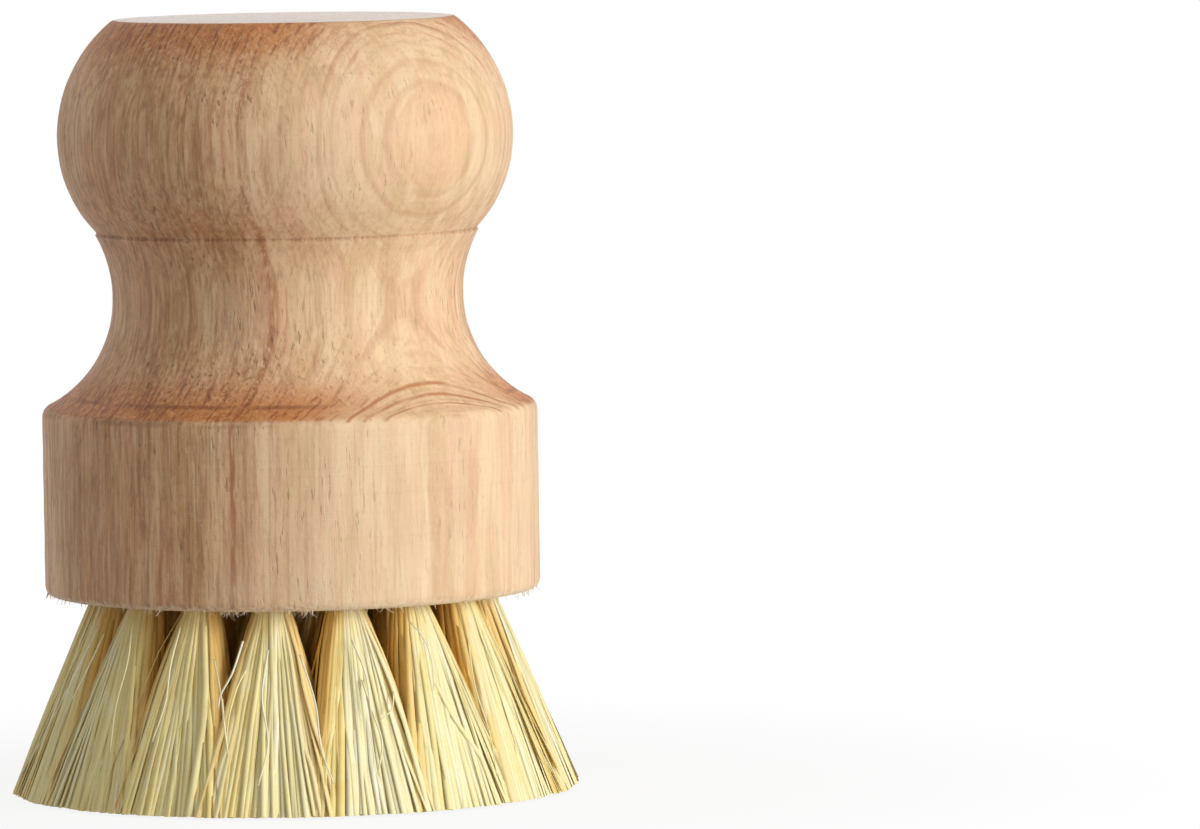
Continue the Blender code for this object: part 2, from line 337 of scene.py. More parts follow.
def carve(obj, cutters):
    # takes the cutters out of the object and keeps the rest as its own mesh
    for cutter in cutters:
        modifier = obj.modifiers.new(cutter.name, "BOOLEAN")
        modifier.solver = "EXACT"
        modifier.object = cutter
    bpy.context.view_layer.update()
    mesh = bpy.data.meshes.new_from_object(obj.evaluated_get(bpy.context.evaluated_depsgraph_get()))
    obj.modifiers.clear()
    obj.data = mesh
    for cutter in cutters:
        bpy.data.objects.remove(cutter)


def makeFloor():
    # one round face, clear from below so that the tips can be seen
    turns = np.linspace(0, 2 * pi, stage["floorSides"], endpoint=False)
    rim = onCircle(turns, stage["floorRadius"], -stage["drop"])
    floor = addPiece("floor", meshOf("floor", rim, [list(range(len(rim)))]), floorFinish())


# handle

handle = {
    "blockHeight": 20.5, "shoulderRise": 12.2, "neckRise": 7.1, "knobLowerRise": 10.4,
    "blockRadius": 27.3, "waistDrawIn": 8.0, "neckFlare": 1.8, "knobSwell": 4.0, "knobTuck": 6.3,
    "blockEdge": 1.2, "shoulderEdge": 1.5, "topEdge": 1.0,
    "lineDepth": 0.15, "lineWidth": 0.45,
    "sides": 320,
    "step": 0.42,  # between the rings of the mesh
    "cornerSkip": 4,  # points of an arc that its rounded edge takes the place of
    "smoothAngle": 32,
    "chatter": 0.035,  # how far the tool wandered
    "wanders": [(0, 1.7, 3, 0.6), (1, 0.2, 4, 0.4)],  # along the angle, along the height, seed, share
    "burr": 0.07, "burrRise": 0.9, "burrFade": 1.5,  # roughness of the lower edge
    "burrWave": (31, 5),  # along the angle, seed
}

rippleSizes = {"octaves": 7, "turns": (1, 4), "slant": 1.5, "fall": 1.6, "whole": 2}

holes = {
    "radius": 2.5, "depth": 8.6, "pointAngle": 118, "sides": 32,
    "flare": 1.36,  # the face of the tips is this much wider than the ringed underside
    "slitGap": 0.3, "overrun": 3.0,
}

shoulderZ = undersideZ + handle["blockHeight"]
waistZ = shoulderZ + handle["shoulderRise"]
lineZ = waistZ + handle["neckRise"]
knobZ = lineZ + handle["knobLowerRise"]
waistRadius = handle["blockRadius"] - handle["waistDrawIn"]
lineRadius = waistRadius + handle["neckFlare"]
knobRadius = lineRadius + handle["knobSwell"]
topRadius = knobRadius - handle["knobTuck"]
apexZ = undersideZ * holes["flare"] / (holes["flare"] - 1)  # where the lines of all the tufts meet


def swell(widest, end):
    # the arc that starts upright at one (radius, height) and ends at another
    run, rise = end[0] - widest[0], end[1] - widest[1]
    arcRadius = (run**2 + rise**2) / (2 * abs(run))
    sweep = 2 * atan2(abs(run), abs(rise))
    count = ceil(arcRadius * sweep / handle["step"])
    turns = [sweep * number / count for number in range(count + 1)]
    return [(widest[0] + copysign(arcRadius, run) * (1 - cos(t)),
             widest[1] + copysign(arcRadius, rise) * sin(t)) for t in turns]


def roundCorner(before, corner, after, radius):
    corner = Vector(corner)
    back, ahead = Vector(before) - corner, Vector(after) - corner
    setback = radius / tan(back.angle(ahead) / 2)
    start, end = corner + back.normalized() * setback, corner + ahead.normalized() * setback
    count = ceil(2 * setback / handle["step"]) * 2
    steps = [number / count for number in range(count + 1)]
    return [tuple(start * (1 - s) ** 2 + corner * 2 * s * (1 - s) + end * s**2) for s in steps]


def straight(start, end):
    # the points between the two, without them
    run = Vector(end) - Vector(start)
    count = ceil(run.length / handle["step"])
    return [tuple(Vector(start) + run * number / count) for number in range(1, count)]


def handleProfile():
    foot, shoulder = (handle["blockRadius"], undersideZ), (handle["blockRadius"], shoulderZ)
    waist, widest, rim = (waistRadius, waistZ), (knobRadius, knobZ), (topRadius, topZ)
    skip, close, halfLine = handle["cornerSkip"], handle["step"] / 4, handle["lineWidth"] / 2
    lineFoot, lineHead = (lineRadius, lineZ - halfLine), (lineRadius, lineZ + halfLine)
    lineFloor = (lineRadius - handle["lineDepth"], lineZ)
    cove = swell(waist, shoulder)[::-1]
    knobUpper = swell(widest, rim)
    bottomEdge = roundCorner((0, undersideZ), foot, shoulder, handle["blockEdge"])
    shoulderEdge = roundCorner(foot, shoulder, cove[skip], handle["shoulderEdge"])
    topEdge = roundCorner(knobUpper[-skip], rim, (0, topZ), handle["topEdge"])
    cove = [point for point in cove[:-1] if point[1] > shoulderEdge[-1][1] + close]
    knobUpper = [point for point in knobUpper if point[1] <= topEdge[0][1] - close]
    groove = roundCorner(lineFoot, lineFloor, lineHead, handle["lineWidth"] / 5)
    return [*bottomEdge, *straight(bottomEdge[-1], shoulderEdge[0]), *shoulderEdge, *cove,
            *swell(waist, lineFoot), *groove, *swell(widest, lineHead)[::-1][:-1], *knobUpper, *topEdge]


def ripple(angle, height, seed):
    # a smooth wander between about -1 and 1, the same on every run
    draw = np.random.default_rng(seed)
    slant = rippleSizes["slant"]
    total = np.zeros(np.broadcast(angle, height).shape)
    for octave in range(rippleSizes["octaves"]):
        turns = draw.integers(*rippleSizes["turns"]) * 2**octave
        total = total + np.sin(turns * angle + height * draw.uniform(-slant, slant) * 2**(octave / 2)
                               + draw.uniform(0, 2 * pi)) / rippleSizes["fall"]**octave
    return total / rippleSizes["whole"]


def turnedMesh():
    profile = np.array(handleProfile())
    radius, height = profile[:, 0:1], profile[:, 1:2]
    angle = np.linspace(0, 2 * pi, handle["sides"], endpoint=False)[None, :]
    wander = sum(ripple(angle * a, height * h, seed) * share for a, h, seed, share in handle["wanders"])
    nearFoot = ramp(height, undersideZ + handle["burrRise"], undersideZ) ** handle["burrFade"]
    often, seed = handle["burrWave"]
    rough = ripple(angle * often, height, seed) * nearFoot
    reach = radius + handle["chatter"] * wander + handle["burr"] * rough
    return meshOf("woodenHandle", onCircle(angle, reach, height), tubeFaces(1, *reach.shape))


def readTufts():
    tufts = {}
    for label, anchor in anchors.items():
        points = np.unique(np.array([v.co for v in anchor.data.vertices]).round(7), axis=0) / mm
        middle = Vector(points.mean(axis=0))
        inwards = (up * apexZ - middle).normalized()  # the axis of the tuft's hole, up into the wood
        mouth = up * apexZ - inwards * (apexZ - undersideZ) / inwards.z
        longest = Vector(np.linalg.svd(points - points.mean(axis=0))[2][0])
        across = (longest - inwards * longest.dot(inwards)).normalized()
        placing = Matrix((across.cross(inwards), across, inwards)).transposed().to_4x4()
        placing.translation = mouth
        ring, azimuth = label.split("_")[0], atan2(mouth.y, mouth.x)
        tufts[label] = SimpleNamespace(ring=ring, placing=placing, points=points, middle=middle,
                                       radius=mouth.xy.length, azimuth=azimuth)
    return tufts


def makeHandle(tufts, wood):
    piece = addPiece("woodenHandle", turnedMesh(), wood)
    drill, slit = bmesh.new(), bmesh.new()
    coneDepth = holes["radius"] / tan(radians(holes["pointAngle"] / 2))
    profile = [(holes["radius"], -holes["overrun"]), (holes["radius"], holes["depth"]),
               (0, holes["depth"] + coneDepth)]
    for tuft in tufts.values():
        turn(drill, profile, holes["sides"], tuft.placing)
        turned = tuft.placing.to_3x3()
        sizes = np.ptp(tuft.points @ np.array(turned), axis=0)
        block(slit, sizes + 2 * holes["slitGap"], Matrix.Translation(tuft.middle * mm) @ turned.to_4x4())
    carve(piece, [body("drill", drill, wood), body("slit", slit, wood)])
    piece.data.shade_smooth()
    piece.data.set_sharp_from_angle(angle=radians(handle["smoothAngle"]))
    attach(piece, "root")
    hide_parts("wooden_handle")
    print("handle:", len(piece.data.polygons), "faces")


# wood

woodLook = {
    "pithAzimuth": 40,  # degrees to the right of the camera, where the tree's heart lay
    "pithDistance": 75.0,
    "layer": 1.3,  # mean thickness of a growth layer
    "uneven": (0.21, 1.8),  # how often the layers' thickness changes, by how many layers
    "wander": 0.9, "ripple": 0.35, "raggedFoot": 2.2,
    "knobStart": 0.5,  # above the turned line
    "knobTurn": 0.12,  # on the knob the cut ends of the grain start on steeper ground,
    "knobSetBack": 4.5,  # and farther from the heart
    "toolRings": 2.2,  # per millimetre
    "pauses": 0.09,
    "offPlane": (0.37, 0.5),  # places off the planes where the noise is even
    "marks": (3, 0.65),  # detail and roughness
    "rough": 0.46, "bump": (0.6, 0.00012),
    "surface": {"IOR": 1.45, "Specular IOR Level": 0.5},
}

woodTints = {
    "cream": (249, 219, 178), "pink": (240, 196, 158), "khaki": (228, 191, 145), "warmHeart": (239, 192, 147),
    "farWood": (243, 227, 213),  # tints the wood that lay farther from the heart, which is the side away from the lamps, so it is also painted shade there
    "late": (184, 118, 80), "grain": (150, 99, 66), "pore": (104, 74, 42), "streak": (160, 92, 58),
    "endGrain": (206, 130, 68), "endGrainLate": (142, 72, 36), "nearLayer": (186, 122, 76),
    "line": (124, 68, 38), "burr": (244, 222, 192), "fuzz": (224, 208, 186),
}

woodClouds = {
    # changes per millimetre along x, y and z, then detail and roughness if not 2 and 0.5
    "wander": (0.05, 0.05, 0.02), "ripple": (0.3, 0.3, 0.05), "fuzz": (2.1, 2.1, 1.5, 3, 0.65),
    "crowd": (0.12, 0.12, 0.084, 1), "drift": (0.12, 0.12, 0.36, 1),
}

woodFigures = {
    # the same across the growth layers, around the trunk and along it
    "breaks": (0.6, 0.14, 0.11), "hue": (0.24, 0.2, 0.045), "shade": (0.55, 0.4, 0.07, 3),
    "broad": (0.34, 0.16, 0.022, 2, 0.6), "plies": (2.3, 0.35, 0.06, 3, 0.62),
    "fine": (2.1, 2.1, 0.22, 3, 0.62), "pores": (2.0, 2.0, 0.42),
}

woodFades = {
    # masks that come from each value: where they start and where they are full
    "radial": {"far": (51, 70), "lineFar": (50.5, 57), "slopeLineFar": (54, 58)},
    "knobRadial": {"cutFar": (50.5, 58)}, "nearby": {"heart": (51, 50.7)},
    "phase": {"lateStart": (0.5, 0.88), "lateEnd": (1, 0.93)},
    "breaks": {"layerBreaks": (0.36, 0.6), "arcBreaks": (0.36, 0.52)},
    "hue": {"isPink": (0.4, 0.6)}, "shade": {"isPale": (0.4, 0.62)},
    "broad": {"broadDark": (0.5, 0.66), "broadPale": (0.48, 0.34)},
    "plies": {"plyLines": (0.47, 0.66), "cutPlies": (0.49, 0.64)},
    "fine": {"fineLines": (0.46, 0.68), "finePale": (0.48, 0.32), "fineWear": (0.34, 0.56),
             "fineDents": (0.5, 0.8), "lineWear": (0.3, 0.6)},
    "fuzz": {"fuzzDark": (0.52, 0.8), "fuzzPale": (0.46, 0.22), "fuzzTorn": (0.3, 0.75)},
    "pores": {"poreLines": (0.62, 0.7)}, "crowd": {"crowded": (0.4, 0.62)}, "pauses": {"paused": (0.3, 0.55)},
    "drift": {"someRings": (0.34, 0.58)}, "marks": {"toolMarks": (0.56, 0.8)},
    "knobUpward": {"slope": (0.5, 0.86)},
    "upward": {"sloping": (0.35, 0.6), "flat": (0.965, 0.995), "under": (-0.25, -0.7)},
    "ragged": {"foot": (undersideZ + 0.75, undersideZ + 0.1)},
}

woodBands = {
    # the same for thin layers and lines: their middle, reach and soft edge, in millimetres
    "radial": {"streak": (62.65, 0.1, 0.36)},
    "nearby": {"outerRing": (52.3, 0.04, 0.27), "innerRing": (51.1, 0.04, 0.27),
               "slopeRing": (49.9, 0.03, 0.16),  # on the shoulder alone
               "saddle": (55.6, 0.02, 0.12)},  # touches the waist where it is narrowest
    "z": {"waist": (waistZ, 2.5, 3), "line": (lineZ, 0.06, 0.26),
          "edgeLine": (shoulderZ - 0.25, 0.05, 0.55), "slopeLine": (shoulderZ + 1.45, 0.05, 0.28)},
}

woodLeast = {
    # what is left of a mark where the mask that breaks it is 0
    "strength": 0.15, "layerBreaks": 0.2, "crowded": 0.12, "poreFar": 0.45, "cutFar": 0.1, "arcBreaks": 0.35,
    "lineWear": 0.3, "lineFar": 0.22,
}

woodShares = {
    # how much a mark counts where several are added up
    "slopedLate": 1.5, "flatLess": 0.8, "knobRing": 0.26, "shoulderRing": 0.85, "slopeRing": 0.8,
    "saddle": 0.13, "edgeLine": 0.45, "slopeLine": 0.55, "isPale": 0.7, "foot": 0.7,
}
woodRelief = {"marks": 0.5, "fuzz": 0.5, "dashes": -0.8, "fineDents": -0.3}
woodRough = {"fine": 0.12, "marks": 0.08, "flat": -0.38}

woodCoats = [
    # mask, its strength near the tree's heart, what is added far from it, and the colour
    # the cream coat near the heart is partly the paler wood there, partly painted light on the side that
    # faces the lamps
    ("under", 0, 0.35, "endGrain"), ("nearHeart", 0.25, 0, "cream"), ("heartDisc", 0.6, 0, "warmHeart"),
    ("broadDark", 0.05, 0.3, "grain"), ("broadPale", 0.05, 0.25, "cream"), ("lateWood", 0.3, 0, "late"),
    ("cutEnds", 0.9, 0, "endGrain"), ("cutLate", 0.85, 0, "endGrainLate"), ("finePale", 0.08, 0.26, "cream"),
    ("plyLines", 0.1, 0.36, "grain"), ("fineLines", 0.08, 0.4, "grain"), ("fuzzDark", 0.12, 0.28, "grain"),
    ("fuzzPale", 0.3, 0, "cream"), ("streaks", 0.62, 0, "streak"), ("dashes", 0.62, 0, "pore"),
    ("toolMarks", 0.12, 0, "grain"), ("rings", 1, 0, "nearLayer"), ("turnedLine", 0.55, 0, "line"),
    ("shoulderLines", 1, 0, "line"),
]

woodPatches = {
    # torn fibres: azimuth, height and reach of each patch
    "fuzzy": {"strength": 0.34, "at": [(-18, 52.8, 6.0), (4, 24.0, 5.0), (-14, 24.5, 4.0)]},
    "nicks": {"strength": 0.9, "at": [(-21, 31.2, 0.26), (-29, 25.2, 0.2), (-23, 25.3, 0.2)]},
}


def woodMasks(paint, where):
    # how strong each mark of the wood is at each point
    look, share = woodLook, woodShares
    x, y, z = [paint.make("SeparateXYZ", {}, {0: where}, axis) / mm for axis in "XYZ"]
    facing = paint.make("NewGeometry", output="Normal")
    upward = paint.make("SeparateXYZ", {}, {0: facing}, "Z")
    onKnob = paint.step(z, lineZ, lineZ + look["knobStart"])
    values = {name: paint.figure((x, y, z), sizes) for name, sizes in woodClouds.items()}

    # where the tree's heart was, and how far from it each point lies
    pith = orbit(look["pithAzimuth"], 0, look["pithDistance"]) / mm
    dx, dy = x - pith.x, y - pith.y
    nearby = (dx * dx + dy * dy).maths("SQRT") + (values["ripple"] - 0.5) * look["ripple"]
    radial = nearby + (values["wander"] - 0.5) * (2 * look["wander"])
    around = dy.maths("ARCTAN2", dx) * look["pithDistance"]
    values.update({name: paint.figure((radial, around, z), sizes) for name, sizes in woodFigures.items()})

    # growth layers, each with its own strength
    often, by = look["uneven"]
    along = {"noise_dimensions": "1D"}
    uneven = paint.make("TexNoise", along, {"W": radial, "Scale": often, "Detail": 1})
    count = radial / look["layer"] + uneven * by
    strength = paint.make("TexWhiteNoise", along, {"W": count.maths("FLOOR")})

    # rings that the tool left, and the places where a mark pauses
    offRings, offPauses = look["offPlane"]
    fromAxis = (x * x + y * y).maths("SQRT") * look["toolRings"]
    marks = paint.noise(paint.combine(fromAxis, offRings, z * look["toolRings"]), 1, *look["marks"])
    pauses = paint.noise(paint.combine(offPauses, offPauses, z), look["pauses"], 1)
    ragged = z + (values["fuzz"] - 0.5) * look["raggedFoot"]

    m = SimpleNamespace(
        **values, z=z, upward=upward, radial=radial, nearby=nearby, marks=marks, pauses=pauses, ragged=ragged,
        strength=strength, phase=count.maths("FRACT"), knobUpward=upward + onKnob * look["knobTurn"],
        knobRadial=radial - onKnob * look["knobSetBack"])
    for table, mask in ((woodFades, paint.step), (woodBands, paint.band)):
        for source, rows in table.items():
            vars(m).update({name: mask(getattr(m, source), *sizes) for name, sizes in rows.items()})

    def worn(name):
        return paint.above(woodLeast[name], getattr(m, name))

    # near the heart lies the side that faces the lamps, so its cream coat is partly painted light
    m.nearHeart, m.poreFar = 1 - m.far, m.far
    m.heartDisc = m.heart * onKnob
    late = m.lateStart * m.lateEnd * worn("strength")
    m.lateWood = late * (1 + share["slopedLate"] * m.slope) * worn("layerBreaks")
    m.cutEnds = m.slope * worn("cutFar") * (1 - share["flatLess"] * m.flat)
    m.cutLate = m.cutEnds * m.cutPlies
    m.streaks = m.streak * m.fineWear * m.paused
    m.dashes = m.poreLines * worn("crowded") * worn("poreFar")
    onShoulder = m.sloping * (1 - onKnob)
    arcs = (m.outerRing + m.innerRing) * (share["knobRing"] * onKnob + share["shoulderRing"] * onShoulder)
    arcs = arcs + m.slopeRing * onShoulder * share["slopeRing"]
    m.rings = arcs * worn("arcBreaks") + m.saddle * m.waist * share["saddle"]
    m.turnedLine = m.line * worn("lineWear") * worn("lineFar")
    m.edgeLine, m.slopeLine = m.edgeLine * m.far, m.slopeLine * m.slopeLineFar
    m.shoulderLines = sum(getattr(m, name) * share[name] for name in ("edgeLine", "slopeLine")) * m.someRings
    return m


def woodFinish():
    look = woodLook
    tint = {name: linear(*colour) for name, colour in woodTints.items()}
    paint = Finish("turnedWood")
    where = paint.onPiece()
    m = woodMasks(paint, where)

    colour = paint.mix(m.isPink, tint["khaki"], tint["pink"])
    colour = paint.mix(m.isPale * woodShares["isPale"], colour, tint["cream"])
    # painted shade: the wood far from the heart, on the side away from the lamps, is made darker and browner
    colour = paint.mix(m.far, colour, tint["farWood"], "MULTIPLY")
    for mask, near, added, name in woodCoats:
        strength = near + added * m.far if added else near
        colour = paint.mix(getattr(m, mask) * strength, colour, tint[name])

    relief = m.foot * m.fuzz + sum(getattr(m, mask) * share for mask, share in woodRelief.items())
    for patches in woodPatches.values():
        for azimuth, height, reach in patches["at"]:
            radius = waistRadius if height > shoulderZ else handle["blockRadius"]
            middle = orbit(azimuth, 0, radius) + up * height * mm
            away = paint.make("VectorMath", {"operation": "DISTANCE"}, {0: where, 1: middle}, "Value")
            torn = paint.step(away / mm, reach, 0) * m.fuzzTorn * patches["strength"]
            colour = paint.mix(torn, colour, tint["fuzz"])
            relief = relief + torn * m.fuzz
    colour = paint.mix(m.foot * woodShares["foot"], colour, tint["burr"])

    rough = look["rough"] + sum(getattr(m, mask) * share for mask, share in woodRough.items())
    return paint.close(look, colour, relief, rough)


# tufts

fibres = {
    "across": {"outer": (12, 30), "middle": (12, 14), "inner": (11, 12)},  # rows and fibres in a row
    "crowding": {"outer": 2.1, "middle": 1.0, "inner": 1.0},  # rows lie closer towards the outside
    "width": (0.34, 0.62),
    "deepGirth": 1.6,  # how much wider the strands behind the first rows are
    "deepFade": (0.9, 0.7),
    "flatness": (0.12, 0.24),  # thickness for the width
    "taper": 1.55,  # strands are wider where fibres lie side by side
    "rootRadius": 2.2, "startDepth": 1.7,
    "bends": 6,  # stretches of a fibre below the mouth
    "faceRadius": 31.0, "bareRadius": 1.6,
    "overlap": 1.1,  # past the border with the next tuft
    "locks": 13,  # loose locks in a tuft
    "lockPull": 0.18,
    "lean": 0.45,  # how far a whole tuft's tips lean to one side
    "stiffness": 0.28,  # how far a fibre keeps the hole's direction
    "bulge": (1.45, 2.35),  # how far the tuft widens on its way, outwards and sideways
    "wave": 0.4,
    "inAndOut": 0.3,  # share of the wave that leaves the tuft's surface
    "spread": 0.32,  # how far a tip strays from its place
    "strayShare": 0.05, "strayReach": 2.4, "tipUneven": 0.14,
    "flankFrom": 0.64,  # fibres at the sides of a tuft lie between it and the next, so they take part of the painted shade of hidden fibres
    "flankDepth": 0.62,
    "edgeLean": 0.5,  # how far its edges are shaded as if they faced outwards
    "softness": 0.1,  # how far a fibre's own roundness gives way to the tuft's
    "skinOffset": 0.02,  # so that a fibre in mid tuft faces a way too
    "rowPlace": (0.1, 0.9),  # of a root in its row
    "lockField": 0.95,  # locks gather inside this share of the face
    "lockOutwards": 0.5,  # chance that a lock lies in the outer half
    "lockStrength": (0.3, 1.0),
    "strayInwards": (-1, 0.3),
    "strayCore": 6,  # nearer to the axis they turn no farther
    "strayWave": 0.8, "waveTurns": (0.6, 1.6), "overtone": (2.3, 0.5), "twist": 0.13,
    "outsideFrom": (0.3, 0.8),  # how outer a fibre counts in mid tuft, and what the rim adds
    "toneShares": (0.26, 0.46, 0.28),  # of the fibre, its lock and its tuft
    "plugTone": 0.3,
    "seed": 21,
}

plugSizes = {
    "near": 1.2,  # depths along the hole
    "far": 8.3,
    "foldRadius": 1.7, "leastWidth": 0.1, "flute": 0.05,
    "rings": 12, "sides": 44,
    "window": (1.05, 9.0, 2.6),  # for the anchor
    "windowDepth": 6.0,
}


def borders(tufts):
    # each ring's share of the face of tips, from its inner to its outer radius
    radii = {t.ring: t.radius * holes["flare"] for t in tufts.values()}
    outerMiddle = (radii["outer"] + radii["middle"]) / 2
    middleInner = (radii["middle"] + radii["inner"]) / 2
    return {"outer": (outerMiddle, fibres["faceRadius"]), "middle": (middleInner, outerMiddle),
            "inner": (fibres["bareRadius"], middleInner)}


def plugMesh(fibre):
    # the bound root of a tuft, with the window for its anchor, in the hole's own frame
    sides, far, fold = plugSizes["sides"], plugSizes["far"], plugSizes["foldRadius"]
    spokes = [(2 * pi * side / sides, fibres["rootRadius"] * (1 - plugSizes["flute"] * (side % 2)))
              for side in range(sides)]
    loops = []
    for depth in np.linspace(plugSizes["near"], far, plugSizes["rings"]):
        past = max(0.0, depth - far + fold) / fold
        narrowed = sqrt(max(plugSizes["leastWidth"]**2, 1 - past**2))
        loops.append([Vector((r * narrowed * cos(a), r * sin(a), depth)) for a, r in spokes])
    bm, window = bmesh.new(), bmesh.new()
    wrap(bm, loops)
    block(window, plugSizes["window"], Matrix.Translation(up * plugSizes["windowDepth"] * mm))
    plug = body("plug", bm, fibre)
    carve(plug, [body("window", window, fibre)])
    mesh = plug.data
    bpy.data.objects.remove(plug)
    return mesh


def fibrePaths(tuft, share, ringCount, draw):
    # the middle lines of the fibres of one tuft
    rows, columns = fibres["across"][tuft.ring]
    row, column = [side.ravel() for side in np.meshgrid(np.arange(rows), np.arange(columns), indexing="ij")]
    depth = (row + draw.uniform(*fibres["rowPlace"], row.size)) / rows
    s = 1 - 2 * depth ** fibres["crowding"][tuft.ring]
    t = (column + draw.uniform(0, 1, row.size)) / columns * 2 - 1
    rootX, rootY = s * np.sqrt(1 - t**2 / 2), t * np.sqrt(1 - s**2 / 2)

    # locks draw the tips together, but not away from the rim
    locks, field = fibres["locks"], fibres["lockField"]
    lockS, lockT = draw.uniform(-field, field, (2, locks))
    lockS = np.where(draw.random(locks) < fibres["lockOutwards"], np.abs(lockS), lockS)
    nearest = ((s[:, None] - lockS) ** 2 + (t[:, None] - lockT) ** 2).argmin(axis=1)
    pull = fibres["lockPull"] * draw.uniform(*fibres["lockStrength"], locks)[nearest]
    tipS = s + (lockS[nearest] - s) * pull * (1 - np.clip(s, 0, 1))
    tipT = t + (lockT[nearest] - t) * pull

    (inner, outer), spread = share, fibres["spread"]
    reach = inner + (outer - inner) * (tipS + 1) / 2 + draw.normal(0, spread, s.size) * fibres["inAndOut"]
    lean = draw.uniform(-1, 1) * fibres["lean"]
    bearing = tuft.azimuth + tipT * (pi / ringCount + fibres["overlap"] / outer)
    bearing = bearing + (draw.normal(0, spread, s.size) + lean) / outer
    stray = draw.random(s.size) < fibres["strayShare"]
    astray = stray * fibres["strayReach"]
    reach = reach + draw.uniform(*fibres["strayInwards"], s.size) * astray
    bearing = bearing + draw.uniform(-1, 1, s.size) * astray / np.maximum(reach, fibres["strayCore"])
    tipZ = np.abs(draw.normal(0, fibres["tipUneven"] / 2, s.size))
    tips = onCircle(bearing, reach, tipZ)

    # the root disc, whose first axis points away from the brush's axis
    inwards = np.array(tuft.placing.to_3x3())[:, 2]
    outwards = onCircle(tuft.azimuth, 1, 0)
    outwards = unit(outwards - inwards * outwards.dot(inwards))
    sideways = unit(np.cross([0, 0, 1], outwards))
    mouth = np.array(tuft.placing.translation)
    fill = fibres["rootRadius"] - fibres["width"][1] / 2
    fromMiddle = rootX[:, None] * outwards * fill, rootY[:, None] * sideways * fill
    atMouth = mouth + fromMiddle[0] + fromMiddle[1]
    start = atMouth + inwards * fibres["startDepth"]

    drop = np.linalg.norm(tips - atMouth, axis=1)[:, None]
    widened = sum(part * share for part, share in zip(fromMiddle, fibres["bulge"]))
    bendPoint = mouth + widened - inwards * drop * fibres["stiffness"]
    w = np.linspace(0, 1, fibres["bends"] + 1)[None, :, None]
    lower = (1 - w) ** 2 * atMouth[:, None] + 2 * w * (1 - w) * bendPoint[:, None] + w**2 * tips[:, None]
    swing = draw.normal(0, 1, (s.size, 2, 1, 3))
    swing = swing[..., :1] * outwards * fibres["inAndOut"] + swing[..., 1:2] * sideways
    swing = swing * (fibres["wave"] + stray[:, None, None, None] * fibres["strayWave"])
    turns = draw.uniform(*fibres["waveTurns"], (s.size, 1, 1)) * pi * w
    faster, weaker = fibres["overtone"]
    lower = lower + (swing[:, 0] * np.sin(turns) + swing[:, 1] * np.sin(turns * faster) * weaker) * w
    lower[:, -1, 2] = tipZ
    skin = unit((rootX[:, None] + fibres["skinOffset"]) * outwards + rootY[:, None] * sideways)
    return np.concatenate([start[:, None], lower], axis=1), nearest, (s, t), skin


def threads(paths, sizes, facing, draw, girth=1.0):
    # a flat four-sided thread along each path, its broad side facing the given way
    count, knots = paths.shape[:2]
    corners = [(1, 0), (0, 1), (-1, 0), (0, -1)]
    run = unit(paths[:, -1] - paths[:, 1])
    broad = unit(np.cross(run, facing + draw.normal(0, fibres["twist"], facing.shape)))
    thick = np.cross(run, broad)
    half = draw.uniform(*sizes["width"], count) / 2 * girth
    flat = draw.uniform(*sizes["flatness"], count)
    thin = np.linspace(1, sizes["taper"], knots)
    offsets = np.stack([a * broad + b * thick * flat[:, None] for a, b in corners], axis=1)
    points = paths[:, :, None] + offsets[:, None] * (half[:, None] * thin)[:, :, None, None]
    crest = np.tile([0.0, 0.0, 0.0, 1.0], (count, knots, 1))
    lean = fibres["edgeLean"]
    around = [a * broad + b * thick for a, b in ((1, -lean), (0, 1), (-1, -lean), (0, -1))]
    return points, tubeFaces(count, knots, len(corners)), unit(np.stack(around, axis=1)), crest


def cutLevel(paths, points):
    # the trimmed ends lie flat
    last = unit(paths[:, -1] - paths[:, -2])
    over = (paths[:, -1, 2, None] - points[:, -1, :, 2]) / last[:, 2, None]
    points[:, -1] += over[:, :, None] * last[:, None]


def sharpEnds(mesh, count, knots, sides):
    pairs = np.zeros(len(mesh.edges) * 2, np.int32)
    mesh.edges.foreach_get("vertices", pairs)
    pairs = pairs.reshape(-1, 2)
    atTip = (pairs % (knots * sides) >= (knots - 1) * sides) & (pairs < count * knots * sides)
    mesh.attributes.new("sharp_edge", "BOOLEAN", "EDGE").data.foreach_set("value", atTip.all(axis=1))


def softNormals(mesh, around, skin, knots):
    # the fibres of a tuft catch the light together, as its skin does
    soft = fibres["softness"]
    mixed = unit(around * (1 - soft) + skin[:, None] * soft)
    mixed = np.repeat(mixed[:, None], knots, axis=1).reshape(-1, 3)
    normals = np.array([v.normal for v in mesh.vertices])
    normals[:len(mixed)] = mixed
    mesh.normals_split_custom_set_from_vertices(normals.tolist())


def mark(mesh, **values):
    for name, numbers in values.items():
        mesh.attributes.new(name, "FLOAT", "POINT").data.foreach_set("value", numbers.astype(np.float32))


